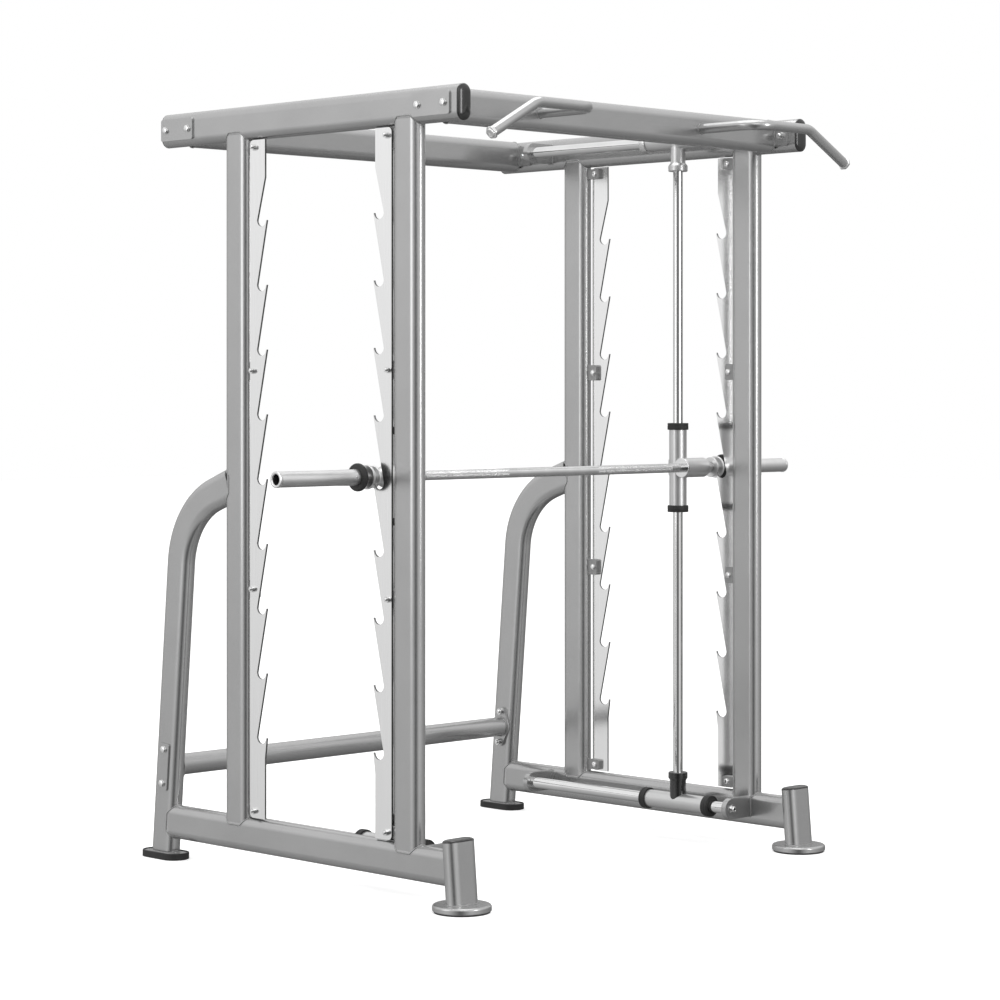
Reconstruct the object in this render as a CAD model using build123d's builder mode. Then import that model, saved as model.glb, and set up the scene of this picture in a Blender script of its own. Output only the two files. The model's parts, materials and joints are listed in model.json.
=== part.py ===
from build123d import *
import os
from math import cos, hypot, radians, sin

# A smith machine with two ways of travel: the bar's carriages climb a pair of upright guide rods, and the
# rods themselves ride front to rear on chrome rails, so the bar follows any path between the toothed plates.
# Millimetres, +Z up, +X to the right, -Y to the front. The origin is on the floor, under the middle.
# Everything is drawn at rest: the bar is level with the middle teeth and just clear of the front plates.

os.makedirs("parts", exist_ok=True)

SIDES = {"left": -1, "right": 1}
ENDS = {"front": -1, "rear": 1}

# Frame tube: flat oval, 50 across the flats and 100 across the round ends.
TUBE_T = 50.0
TUBE_H = 100.0
WALL = 3.0
COPE = 18.0  # how far a coped end reaches past the nose of the tube that it is fitted to
SIDE_X = 713.5  # centre plane of each side frame
INNER_X = SIDE_X - TUBE_T / 2
OUTER_X = SIDE_X + TUBE_T / 2

# Side frames.
BASE_Z = 112.0
BASE_FRONT_Y = -576.0
BASE_REAR_Y = 632.0
TOP_Z = 2172.0
TOP_FRONT_Y = -601.0
TOP_REAR_Y = 659.0
UPRIGHT_Y = {"front": -392.5, "rear": 326.5}
CATCH_FACE_Y = {end: y - ENDS[end] * TUBE_H / 2 for end, y in UPRIGHT_Y.items()}

# Front post: the same tube turned across the machine, leaning back from its round foot.
POST_LEAN = 5.0
POST_Y = -596.0
POST_LENGTH = 166.0
POST_SINK = 10.0  # how far the post's tube starts below its foot's plane, before it is trimmed level
FOOT_R = 80.5
FOOT_T = 18.0
FOOT_TOP_EDGE = 7.0
FOOT_SOLE_EDGE = 3.0
PAD_T = 4.0
PAD_INSET = 4.0
PAD_WIDTH = 36.0
FLOOR_GAP = FOOT_T + PAD_T

# Rear leg: up from an oblong foot, through one large bend, to the back of the rear upright.
LEG_FOOT_Y = 675.5
LEG_BEND = (588.0, 1039.0)
LEG_HEAD = (376.5, 1116.0)
LEG_BEND_R = 240.0
LEG_LEAN = (LEG_FOOT_Y - LEG_BEND[0]) / LEG_BEND[1]
REAR_FOOT = (161.0, 75.0)
REAR_FOOT_T = 8.0
REAR_FOOT_EDGE = 1.5
REAR_CUP = (172.0, 86.0)
REAR_CUP_HEIGHT = 20.0
REAR_CUP_EDGE = 2.0
REAR_CUP_FIT = 0.5
REAR_PAD_T = 10.0

# Domed plugs in the ends of the top tubes and on the posts.
CAP_T = 7.5
CAP_EDGE = 6.0

# Crossmembers, bolted through the tubes between an inner flange and an outer backing plate.
CROSS_Y = {"front": -503.5, "rear": 587.5}
FLANGE_T = 8.0
BACKING_T = 5.0
FLANGE_LENGTH = 146.0
FLANGE_HEIGHT = 64.0
BOLT_REACH = 51.0
M12_R = 6.0
M12_ACROSS = 19.0
M10_R = 5.0
M10_ACROSS = 17.0
HEAD_HEIGHT = 1.3  # of a bolt's head, in shank radii
NUT_HEIGHT = 1.8  # of a nut, in shank radii
THREAD_END = 5.0  # how far a shank stands out of its nut
WASHER_FACE_R = 0.56  # of a hexagon's width across its flats
HOLE_PLAY = 0.5
LOWER_CROSS_R = 31.5
LOWER_CROSS_Z = 276.0
LOWER_FLANGE_EDGE = 5.0
LOWER_FLANGE_END_R = 15.0
LOWER_BACKING = (140.0, 45.0)

# Toothed catch plates, and the tabs that hold them.
CATCH_X = SIDE_X + 11.0
CATCH_T = 6.0
CATCH_BOTTOM = 164.0
CATCH_TOP = 2121.0
CATCH_GAP = 9.0
CATCH_EDGE = 75.0
TOOTH_TIP = 83.0
POCKET_R = 20.0
POCKET_AT = 60.0
POCKET_RISE = 2.0
FIRST_TOOTH_Z = 398.3
TOOTH_PITCH = 186.2
TOOTH_COUNT = 9
FIRST_SLOPE_DROP = 59.0
LAST_SLOPE_RISE = 124.0
CATCH_CORNER_R = 13.0
TAB_T = 12.0
TAB_INSET = 6.0
END_TAB = {"length": 46.0, "height": 32.0, "bolt": 28.0}  # lies flat beside the tube
MID_TAB = {"length": 36.0, "height": 50.0, "bolt": 22.0}  # stands on end
TABS = {184.0: END_TAB, 824.5: MID_TAB, 1455.0: MID_TAB, 2100.0: END_TAB}  # by height of the middle

# Rails and what slides on them.
RAIL_X = 601.0
RAIL_R = 17.5
RAIL_Z = {"lower": 121.0, "upper": TOP_Z}
RAIL_FRONT_Y = -410.0
RAIL_REAR_Y = 417.0
BRACKET_T = 18.0
BRACKET_R = 31.5
BRACKET_STOP = 10.0  # a bracket ends this far short of the side frame's centre plane
SCREW_WASHER = (13.0, 2.0)
SCREW_HEAD = (9.0, 10.0)
SCREW_SOCKET_DEPTH = 6.0
SCREW_SOCKET_ACROSS = 8.0
SCREW_DEPTH = 40.0
RUNNING_FIT = 0.05
SHELL_R = 27.0
SHELL_LENGTH = 276.0
COLLAR_R = 32.5
COLLAR_T = 21.0
COLLAR_LIP = 9.0
COLLAR_EDGE = 1.5
RAIL_BUSH_R = 22.0
BUSH_LENGTH = 55.0

# Guide rods, the carriages on them, and the bar.
ROD_R = 15.0
ROD_WALL = 4.0
ROD_BUSH_R = 20.0
BAR_R = 14.0
BAR_WALL = 5.0
TOOTH_GAP = 1.5
BAR_Y = CATCH_FACE_Y["front"] + TOOTH_TIP + BAR_R + TOOTH_GAP
BAR_Z = FIRST_TOOTH_Z + 4 * TOOTH_PITCH + BAR_R + TOOTH_GAP
BAR_OFFSET = 36.0
ROD_Y = BAR_Y + BAR_OFFSET
SOCKET_LOW_TOP = 214.0
SOCKET_HIGH_BOTTOM = 2077.0
SOCKET_FLARE_R = 30.0
SOCKET_FLARE = (18.0, 26.0)
SOCKET_R = {"lower": 25.0, "upper": 23.0}
SOCKET_EDGE = 3.0
ROD_SEAT = 8.0
SADDLE_HEIGHT = 49.0
SADDLE_REACH = 24.0
SADDLE_EDGE = 5.0
BOSS_R = 30.0
BOSS_INNER_X = 580.5
BOSS_OUTER_X = 676.0
NOSE_END_X = 707.0
NOSE_END_R = 16.0
BUSH_FLANGE_T = 5.5
BUSH_SLEEVE_R = 15.5
FLANGE_EDGE = 1.5
BAR_FLANGES = ((711.0, 717.0, 31.0), (734.0, 742.0, 34.0))
RING_SPAN = (763.5, 778.5)
RING_R = 39.0
RING_EDGE = 6.0
SLEEVE_R = 22.0
SLEEVE_FLARE_R = 23.5
SLEEVE_FLARE = 70.0
SLEEVE_CHAMFER = 1.5
SLEEVE_END_X = 1068.5
BAR_HALF = 900.0

# Pull-up handles.
HANDLE_R = 15.0
HANDLE_BORE_R = 12.5
HANDLE_BEND_R = 65.0
HANDLE_CAP_R = 18.0
HANDLE_CAP_T = 12.0
HANDLE_CAP_EDGES = (2.0, 4.0)
HANDLE_Y = -744.5
HANDLE_ROUTE = ((342.0, -528.5, TOP_Z), (342.0, HANDLE_Y, TOP_Z), (576.0, HANDLE_Y, TOP_Z), (745.0, HANDLE_Y, 2080.0))


def save(part, name):
    part.label = name
    export_step(part, f"parts/{name}.step")


def along_x(x, y, z):
    """Plane facing +X, with its own x axis pointing up."""
    return Plane(origin=(x, y, z), x_dir=(0, 0, 1), z_dir=(1, 0, 0))


def along_y(x, y, z):
    """Plane facing +Y, with its own x axis pointing up."""
    return Plane(origin=(x, y, z), x_dir=(0, 0, 1), z_dir=(0, 1, 0))


def along_z(x, y, z):
    """Plane facing up, with its own x axis pointing to the rear."""
    return Plane(origin=(x, y, z), x_dir=(0, 1, 0), z_dir=(0, 0, 1))


def group(parts):
    """Separate solids kept together as one piece set."""
    with BuildPart() as pieces:
        for part in parts:
            add(part)
    return pieces.part


def both_sides(make):
    return [make(side) for side in SIDES.values()]


def oval_bar(plane, length):
    """The outside of a frame tube as a solid bar."""
    with BuildPart() as bar:
        with BuildSketch(plane):
            SlotOverall(TUBE_H, TUBE_T)
        extrude(amount=length)
    return bar.part


def oval_tube(plane, length):
    with BuildPart() as tube:
        with BuildSketch(plane):
            SlotOverall(TUBE_H, TUBE_T)
            SlotOverall(TUBE_H - 2 * WALL, TUBE_T - 2 * WALL, mode=Mode.SUBTRACT)
        extrude(amount=length)
    return tube.part


def cut(part, tools):
    with BuildPart() as piece:
        add(part)
        for tool in tools:
            add(tool, mode=Mode.SUBTRACT)
    return piece.part


def round_bar(plane, radius, length):
    with BuildPart() as bar:
        with BuildSketch(plane):
            Circle(radius)
        extrude(amount=length)
    return bar.part


def ring(plane, outer_r, inner_r, length, edge=0.0):
    """A tube or washer, with its outer edges rounded when an edge radius is given."""
    with BuildPart() as tube:
        with BuildSketch(plane):
            Circle(outer_r)
        extrude(amount=length)
        if edge:
            fillet(tube.edges().filter_by(GeomType.CIRCLE), edge)
        with BuildSketch(plane):
            Circle(inner_r)
        extrude(amount=length, mode=Mode.SUBTRACT)
    return tube.part


# ---------------------------------------------------------------- side frames


def base_plane(side):
    return along_y(side * SIDE_X, BASE_FRONT_Y, BASE_Z)


def base_outside(side):
    return oval_bar(base_plane(side), BASE_REAR_Y - BASE_FRONT_Y)


def top_plane(side):
    return along_y(side * SIDE_X, TOP_FRONT_Y, TOP_Z)


def top_outside(side):
    return oval_bar(top_plane(side), TOP_REAR_Y - TOP_FRONT_Y)


def post_plane(side, distance=0.0):
    """Section plane of the front post, a distance up its leaning centre line from the foot."""
    lean = radians(POST_LEAN)
    origin = (side * SIDE_X, POST_Y + distance * sin(lean), FLOOR_GAP + distance * cos(lean))
    return Plane(origin=origin, x_dir=(1, 0, 0), z_dir=(0, sin(lean), cos(lean)))


def front_post(side):
    tube = oval_tube(post_plane(side, -POST_SINK), POST_LENGTH + POST_SINK)
    with BuildPart() as post:
        add(tube)
        split(bisect_by=Plane.XY.offset(FLOOR_GAP), keep=Keep.TOP)
    return post.part


def leg_section(plane, hollow):
    with BuildSketch(plane) as section:
        SlotOverall(TUBE_H, TUBE_T)
        if hollow:
            SlotOverall(TUBE_H - 2 * WALL, TUBE_T - 2 * WALL, mode=Mode.SUBTRACT)
    return section.sketch


def rear_leg(side, hollow=True):
    """Foot, long straight run, one bend and a short run that is coped to the rear upright."""
    x = side * SIDE_X
    start = (x, LEG_FOOT_Y, 0)
    run = LEG_HEAD[0] - LEG_BEND[0]
    rise = LEG_HEAD[1] - LEG_BEND[1]
    beyond = COPE / hypot(run, rise)
    head = (x, LEG_HEAD[0] + beyond * run, LEG_HEAD[1] + beyond * rise)
    plane = Plane(origin=start, x_dir=(0, 1, LEG_LEAN), z_dir=(0, -LEG_LEAN, 1))
    section = leg_section(plane, hollow)
    with BuildPart() as leg:
        with BuildLine() as path:
            FilletPolyline(start, (x, LEG_BEND[0], LEG_BEND[1]), head, radius=LEG_BEND_R)
        sweep(section, path=path.wires()[0])
        split(bisect_by=Plane.XY.offset(REAR_FOOT_T + REAR_PAD_T), keep=Keep.TOP)
    return leg.part


def leg_point(side, z, x):
    """A point on the rear leg's centre line at a height, moved to a given distance from the middle."""
    return (side * x, LEG_FOOT_Y - LEG_LEAN * z, z)


def leg_plane(side, x):
    """Plane facing outward at the lower crossmember, with its x axis up the leaning leg."""
    origin = leg_point(side, LOWER_CROSS_Z, x)
    return Plane(origin=origin, x_dir=(0, -LEG_LEAN, 1), z_dir=(side, 0, 0))


def bolt_axes(x):
    """Every crossmember bolt, as a plane facing outward at the given distance from the middle."""
    planes = []
    for side in SIDES.values():
        for y in CROSS_Y.values():
            for reach in (-BOLT_REACH, BOLT_REACH):
                origin = (side * x, y + reach, TOP_Z)
                planes.append(Plane(origin=origin, x_dir=(0, 0, 1), z_dir=(side, 0, 0)))
        lower = leg_plane(side, x)
        for reach in (-BOLT_REACH, BOLT_REACH):
            origin = lower.from_local_coords((reach, 0, 0))
            planes.append(Plane(origin=origin, x_dir=(0, 0, 1), z_dir=(side, 0, 0)))
    return planes


def rear_leg_with_holes(side):
    holes = [round_bar(plane, M12_R + HOLE_PLAY, 2 * TUBE_T) for plane in bolt_axes(INNER_X - TUBE_T / 2)]
    return cut(rear_leg(side), holes + [upright_outside(side, "rear")])


def upright_outside(side, end):
    plane = along_z(side * SIDE_X, UPRIGHT_Y[end], BASE_Z)
    return oval_bar(plane, TOP_Z - BASE_Z)


def upright(side, end):
    bottom = BASE_Z + TUBE_H / 2 - COPE
    top = TOP_Z - TUBE_H / 2 + COPE
    tube = oval_tube(along_z(side * SIDE_X, UPRIGHT_Y[end], bottom), top - bottom)
    return cut(tube, [base_outside(side), top_outside(side)])


def base_tube(side):
    tube = oval_tube(base_plane(side), BASE_REAR_Y - BASE_FRONT_Y)
    post = oval_bar(post_plane(side, -POST_SINK), POST_LENGTH + POST_SINK)
    return cut(tube, [post, rear_leg(side, hollow=False)])


def top_tube(side):
    tube = oval_tube(top_plane(side), TOP_REAR_Y - TOP_FRONT_Y)
    holes = [
        round_bar(along_x(side * SIDE_X - TUBE_T, y + reach, TOP_Z), M12_R + HOLE_PLAY, 2 * TUBE_T)
        for y in CROSS_Y.values()
        for reach in (-BOLT_REACH, BOLT_REACH)
    ]
    return cut(tube, holes)


def far_edges(piece, plane, distance):
    """Edges of a piece that lie in the plane a distance out from its section plane."""
    far = plane.offset(distance)
    return piece.edges().filter_by(lambda edge: abs(far.to_local_coords(edge @ 0.5).Z) < 0.01)


def domed_cap(plane):
    """Oval plug head for the end of a tube, with a well-rounded rim."""
    with BuildPart() as cap:
        with BuildSketch(plane):
            SlotOverall(TUBE_H, TUBE_T)
        extrude(amount=CAP_T)
        fillet(far_edges(cap, plane, CAP_T), CAP_EDGE)
    return cap.part


def end_caps():
    caps = []
    for side in SIDES.values():
        x = side * SIDE_X
        front = Plane(origin=(x, TOP_FRONT_Y, TOP_Z), x_dir=(0, 0, 1), z_dir=(0, -1, 0))
        caps += [domed_cap(front), domed_cap(along_y(x, TOP_REAR_Y, TOP_Z))]
        caps.append(domed_cap(post_plane(side, POST_LENGTH)))
    return group(caps)


def front_foot(side):
    plane = Plane.XY.offset(PAD_T)
    with BuildPart() as foot:
        with BuildSketch(plane):
            with Locations((side * SIDE_X, POST_Y)):
                Circle(FOOT_R)
        extrude(amount=FOOT_T)
        fillet(far_edges(foot, plane, FOOT_T), FOOT_TOP_EDGE)
        fillet(far_edges(foot, plane, 0), FOOT_SOLE_EDGE)
    return foot.part


def rear_foot(side):
    plane = Plane.XY.offset(REAR_PAD_T)
    with BuildPart() as foot:
        with BuildSketch(plane):
            with Locations((side * SIDE_X, LEG_FOOT_Y)):
                SlotOverall(REAR_FOOT[0], REAR_FOOT[1], rotation=90)
        extrude(amount=REAR_FOOT_T)
        fillet(far_edges(foot, plane, REAR_FOOT_T), REAR_FOOT_EDGE)
    return foot.part


def front_pad(side):
    outer_r = FOOT_R - PAD_INSET
    return ring(Plane(origin=(side * SIDE_X, POST_Y, 0)), outer_r, outer_r - PAD_WIDTH, PAD_T)


def rear_pad(side):
    """Rubber cup that the rear foot plate lies in, with a lip that stands just proud of the plate."""
    with BuildPart() as pad:
        with BuildSketch():
            with Locations((side * SIDE_X, LEG_FOOT_Y)):
                SlotOverall(REAR_CUP[0], REAR_CUP[1], rotation=90)
        extrude(amount=REAR_CUP_HEIGHT)
        fillet(far_edges(pad, Plane.XY, 0), REAR_CUP_EDGE)
        fillet(far_edges(pad, Plane.XY, REAR_CUP_HEIGHT), REAR_CUP_EDGE)
        with BuildSketch(Plane.XY.offset(REAR_PAD_T)):
            with Locations((side * SIDE_X, LEG_FOOT_Y)):
                SlotOverall(REAR_FOOT[0] + REAR_CUP_FIT, REAR_FOOT[1] + REAR_CUP_FIT, rotation=90)
        extrude(amount=REAR_CUP_HEIGHT, mode=Mode.SUBTRACT)
    return pad.part


for side_name, side in SIDES.items():
    save(base_tube(side), f"{side_name}_base_tube")
    save(top_tube(side), f"{side_name}_top_tube")
    save(rear_leg_with_holes(side), f"{side_name}_rear_leg")
    for end in ENDS:
        save(upright(side, end), f"{side_name}_{end}_upright")
save(group(both_sides(front_post)), "front_posts")
save(group(both_sides(front_foot)), "front_feet")
save(group(both_sides(rear_foot)), "rear_feet")
save(group(both_sides(front_pad) + both_sides(rear_pad)), "rubber_pads")
save(end_caps(), "end_caps")


# ---------------------------------------------------------------- crossmembers and their bolts


def crossmember(end):
    start = along_x(-INNER_X + FLANGE_T, CROSS_Y[end], TOP_Z)
    return oval_tube(start, 2 * (INNER_X - FLANGE_T))


def plate(plane, height, length, thickness, corner=6.0):
    """Flat plate with two bolt holes: height runs up the plane's x axis and length along its y axis."""
    with BuildPart() as piece:
        with BuildSketch(plane):
            RectangleRounded(height, length, corner)
            with Locations((0, BOLT_REACH), (0, -BOLT_REACH)):
                Circle(M12_R + HOLE_PLAY, mode=Mode.SUBTRACT)
        extrude(amount=thickness)
    return piece.part


def lower_crossmember():
    start = along_x(-INNER_X + FLANGE_T, leg_point(1, LOWER_CROSS_Z, 0)[1], LOWER_CROSS_Z)
    return ring(start, LOWER_CROSS_R, LOWER_CROSS_R - WALL, 2 * (INNER_X - FLANGE_T))


def lower_flange(side):
    """Diamond plate with round corners: wide at the tube, narrow at the bolts above and below it."""
    with BuildPart() as flange:
        with BuildSketch(leg_plane(side, INNER_X - FLANGE_T)) as outline:
            Circle(LOWER_CROSS_R + LOWER_FLANGE_EDGE)
            with Locations((BOLT_REACH, 0), (-BOLT_REACH, 0)):
                Circle(LOWER_FLANGE_END_R)
            make_hull()
            with Locations((BOLT_REACH, 0), (-BOLT_REACH, 0)):
                Circle(M12_R + HOLE_PLAY, mode=Mode.SUBTRACT)
        extrude(amount=FLANGE_T)
    return flange.part


def top_flange(side, end):
    x = INNER_X - FLANGE_T
    plane = Plane(origin=(side * x, CROSS_Y[end], TOP_Z), x_dir=(0, 0, 1), z_dir=(side, 0, 0))
    return plate(plane, FLANGE_HEIGHT, FLANGE_LENGTH, FLANGE_T)


def top_backing(side, end):
    plane = Plane(origin=(side * OUTER_X, CROSS_Y[end], TOP_Z), x_dir=(0, 0, 1), z_dir=(side, 0, 0))
    return plate(plane, FLANGE_HEIGHT, FLANGE_LENGTH, BACKING_T)


def lower_backing(side):
    plane = leg_plane(side, OUTER_X)
    turned = Plane(origin=plane.origin, x_dir=plane.y_dir, z_dir=plane.z_dir)
    length, height = LOWER_BACKING
    return plate(turned, height, length, BACKING_T)


def hex_head(plane, across, height):
    """Hexagon with its top corners turned off, on a thin round washer face."""
    with BuildPart() as head:
        with BuildSketch(plane):
            Circle(across * WASHER_FACE_R)
        extrude(amount=height * 0.15)
        with BuildSketch(plane):
            RegularPolygon(across / 2, 6, major_radius=False)
        extrude(amount=height)
        with BuildSketch(plane):
            Circle(across * WASHER_FACE_R)
        extrude(amount=height, taper=4.0, mode=Mode.INTERSECT)
    return head.part


def bolt(plane, radius, grip, across):
    """Hex bolt: the head stands out of the plane and the shank runs back through the joint."""
    with BuildPart() as screw:
        add(hex_head(plane, across, radius * HEAD_HEIGHT))
        with BuildSketch(plane):
            Circle(radius)
        extrude(amount=-grip)
    return screw.part


def nut(plane, radius, across):
    with BuildPart() as piece:
        add(hex_head(plane, across, radius * NUT_HEIGHT))
        with BuildSketch(plane):
            Circle(radius + RUNNING_FIT)
        extrude(amount=radius * 2, mode=Mode.SUBTRACT)
    return piece.part


def flange_bolts():
    """Bolt heads outside the frame; the shanks run through both walls of the tube to the nuts inside."""
    grip = BACKING_T + TUBE_T + FLANGE_T + M12_R * NUT_HEIGHT + THREAD_END
    return group([bolt(plane, M12_R, grip, M12_ACROSS) for plane in bolt_axes(OUTER_X + BACKING_T)])


save(crossmember("front"), "front_crossmember")
save(crossmember("rear"), "rear_crossmember")
save(lower_crossmember(), "lower_crossmember")
flanges = [top_flange(side, end) for side in SIDES.values() for end in ENDS]
save(group(flanges + both_sides(lower_flange)), "crossmember_flanges")
backings = [top_backing(side, end) for side in SIDES.values() for end in ENDS]
save(group(backings + both_sides(lower_backing)), "backing_plates")
save(flange_bolts(), "crossmember_bolts")


# ---------------------------------------------------------------- catch plates


def catch_outline_plane(side, end):
    """Plane of a catch plate: x runs from the upright's face towards the middle and y runs up."""
    origin = (side * (CATCH_X - CATCH_T / 2), CATCH_FACE_Y[end], 0)
    return Plane(origin=origin, x_dir=(0, -ENDS[end], 0), z_dir=(-ENDS[end], 0, 0))


def catch_plate(side, end):
    """Long plate with a saw edge: each tooth slopes down and back into the round pocket below it."""
    first_slope_end = FIRST_TOOTH_Z - FIRST_SLOPE_DROP
    last_slope_end = FIRST_TOOTH_Z + (TOOTH_COUNT - 1) * TOOTH_PITCH + LAST_SLOPE_RISE
    half_pocket = (POCKET_R**2 - POCKET_RISE**2) ** 0.5
    with BuildPart() as piece:
        with BuildSketch(catch_outline_plane(side, end)):
            with BuildLine():
                here = (CATCH_EDGE, first_slope_end)
                Polyline((CATCH_GAP, CATCH_TOP), (CATCH_GAP, CATCH_BOTTOM), (CATCH_EDGE, CATCH_BOTTOM), here)
                for tooth in range(TOOTH_COUNT):
                    level = FIRST_TOOTH_Z + tooth * TOOTH_PITCH
                    lip = (POCKET_AT + half_pocket, level)
                    floor = (POCKET_AT, level + POCKET_RISE - POCKET_R)
                    root = (POCKET_AT - half_pocket, level)
                    Polyline(here, (TOOTH_TIP, level), lip)
                    ThreePointArc(lip, floor, root)
                    here = root
                Polyline(here, (CATCH_EDGE, last_slope_end), (CATCH_EDGE, CATCH_TOP), (CATCH_GAP, CATCH_TOP))
            make_face()
            with Locations(*[(tab["bolt"], z) for z, tab in TABS.items()]):
                Circle(M10_R + HOLE_PLAY, mode=Mode.SUBTRACT)
        extrude(amount=-side * ENDS[end] * CATCH_T)
        gap_y = CATCH_FACE_Y[end] - ENDS[end] * CATCH_GAP
        corners = piece.edges().filter_by(Axis.X).filter_by(lambda edge: abs(edge.center().Y - gap_y) < 0.01)
        fillet(corners, CATCH_CORNER_R)
    return piece.part


def catch_tab(side, end, z):
    """Small lug on the round face of the upright, inboard of the catch plate."""
    tab = TABS[z]
    middle = CATCH_FACE_Y[end] - ENDS[end] * (tab["length"] - TAB_INSET) / 2
    plane = along_x(side * (CATCH_X - CATCH_T / 2 - TAB_T), middle, z)
    with BuildPart() as piece:
        with BuildSketch(plane):
            RectangleRounded(tab["height"], tab["length"] + TAB_INSET, TAB_INSET)
            with Locations((0, middle - CATCH_FACE_Y[end] + ENDS[end] * tab["bolt"])):
                Circle(M10_R + HOLE_PLAY, mode=Mode.SUBTRACT)
        extrude(amount=side * TAB_T)
    return cut(piece.part, [upright_outside(side, end)])


def tab_places():
    return [(side, end, z) for side in SIDES.values() for end in ENDS for z in TABS]


def tab_bolt_plane(side, end, z, x, facing):
    y = CATCH_FACE_Y[end] - ENDS[end] * TABS[z]["bolt"]
    return Plane(origin=(side * x, y, z), x_dir=(0, 0, 1), z_dir=(side * facing, 0, 0))


def catch_bolts():
    inner = CATCH_X - CATCH_T / 2 - TAB_T
    grip = TAB_T + CATCH_T + M10_R * NUT_HEIGHT + THREAD_END
    return group([bolt(tab_bolt_plane(*place, inner, -1), M10_R, grip, M10_ACROSS) for place in tab_places()])


def lock_nuts():
    outer = CATCH_X + CATCH_T / 2
    nuts = [nut(tab_bolt_plane(*place, outer, 1), M10_R, M10_ACROSS) for place in tab_places()]
    inside = INNER_X - FLANGE_T
    nuts += [nut(plane.rotated((0, 180, 0)), M12_R, M12_ACROSS) for plane in bolt_axes(inside)]
    return group(nuts)


for side_name, side in SIDES.items():
    for end in ENDS:
        save(catch_plate(side, end), f"{side_name}_{end}_catch_plate")
save(group([catch_tab(*place) for place in tab_places()]), "catch_tabs")
save(catch_bolts(), "catch_bolts")
save(lock_nuts(), "lock_nuts")


# ---------------------------------------------------------------- rails


def slide_rail(side, level):
    plane = along_y(side * RAIL_X, RAIL_FRONT_Y, RAIL_Z[level])
    return ring(plane, RAIL_R, M12_R + RUNNING_FIT, RAIL_REAR_Y - RAIL_FRONT_Y, edge=1.0)


def bracket(side, level, end):
    """Welded lug with a round nose that holds one end of a rail."""
    y = RAIL_FRONT_Y - BRACKET_T if end == "front" else RAIL_REAR_Y
    reach = SIDE_X - BRACKET_STOP - RAIL_X
    tube = base_outside(side) if level == "lower" else top_outside(side)
    post = upright_outside(side, end)
    plane = Plane(origin=(side * RAIL_X, y, RAIL_Z[level]), x_dir=(side, 0, 0), z_dir=(0, 1, 0))
    with BuildPart() as lug:
        with BuildSketch(plane):
            Circle(BRACKET_R)
            with Locations((reach / 2, 0)):
                Rectangle(reach, 2 * BRACKET_R)
            Circle(M12_R + HOLE_PLAY, mode=Mode.SUBTRACT)
        extrude(amount=BRACKET_T)
        add(tube, mode=Mode.SUBTRACT)
        add(post, mode=Mode.SUBTRACT)
    return lug.part


def rail_screw(side, level, end):
    """Cap screw on a washer, driven through the bracket into the end of the rail."""
    outward = ENDS[end]
    y = RAIL_FRONT_Y - BRACKET_T if end == "front" else RAIL_REAR_Y + BRACKET_T
    plane = Plane(origin=(side * RAIL_X, y, RAIL_Z[level]), x_dir=(0, 0, 1), z_dir=(0, outward, 0))
    washer_r, washer_t = SCREW_WASHER
    head_r, head_t = SCREW_HEAD
    with BuildPart() as screw:
        with BuildSketch(plane):
            Circle(washer_r)
        extrude(amount=washer_t)
        with BuildSketch(plane):
            Circle(head_r)
        extrude(amount=head_t)
        fillet(far_edges(screw, plane, head_t), 1.0)
        with BuildSketch(plane):
            Circle(M12_R)
        extrude(amount=-(BRACKET_T + SCREW_DEPTH))
        with BuildSketch(plane.offset(head_t - SCREW_SOCKET_DEPTH)):
            RegularPolygon(SCREW_SOCKET_ACROSS / 2, 6, major_radius=False)
        extrude(amount=SCREW_SOCKET_DEPTH, mode=Mode.SUBTRACT)
    return screw.part


rail_places = [(side, level) for side in SIDES.values() for level in RAIL_Z]
bracket_places = [(side, level, end) for side, level in rail_places for end in ENDS]
save(group([slide_rail(*place) for place in rail_places]), "slide_rails")
save(group([bracket(*place) for place in bracket_places]), "rail_brackets")
save(group([rail_screw(*place) for place in bracket_places]), "rail_screws")


# ---------------------------------------------------------------- sliders, guide rods and their sockets


def shell(start, bore_r):
    """Plain tube of a slider or carriage, up to the end walls of its two collars."""
    length = SHELL_LENGTH - 2 * COLLAR_LIP
    return ring(start.offset(COLLAR_LIP), SHELL_R, bore_r, length)


def collar(start, bore_r, flip):
    """Black end cup: it wraps the end of the shell and closes round whatever runs through it."""
    plane = start.offset(SHELL_LENGTH).rotated((180, 0, 0)) if flip else start
    with BuildPart() as cup:
        with BuildSketch(plane):
            Circle(COLLAR_R)
        extrude(amount=COLLAR_T)
        fillet(far_edges(cup, plane, 0), COLLAR_EDGE)
        fillet(far_edges(cup, plane, COLLAR_T), COLLAR_EDGE / 2)
        with BuildSketch(plane.offset(COLLAR_LIP)):
            Circle(SHELL_R)
        extrude(amount=COLLAR_T, mode=Mode.SUBTRACT)
        with BuildSketch(plane):
            Circle(bore_r)
        extrude(amount=COLLAR_T, mode=Mode.SUBTRACT)
    return cup.part


def bushes(start, outer_r, inner_r):
    """Linear bearings just inside both ends of a shell."""
    near = start.offset(COLLAR_LIP)
    far = start.offset(SHELL_LENGTH - COLLAR_LIP - BUSH_LENGTH)
    return [ring(plane, outer_r, inner_r + RUNNING_FIT, BUSH_LENGTH) for plane in (near, far)]


def slider_start(side, level):
    return along_y(side * RAIL_X, ROD_Y - SHELL_LENGTH / 2, RAIL_Z[level])


def slider_outside(side, level):
    return round_bar(slider_start(side, level), SHELL_R, SHELL_LENGTH)


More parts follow.
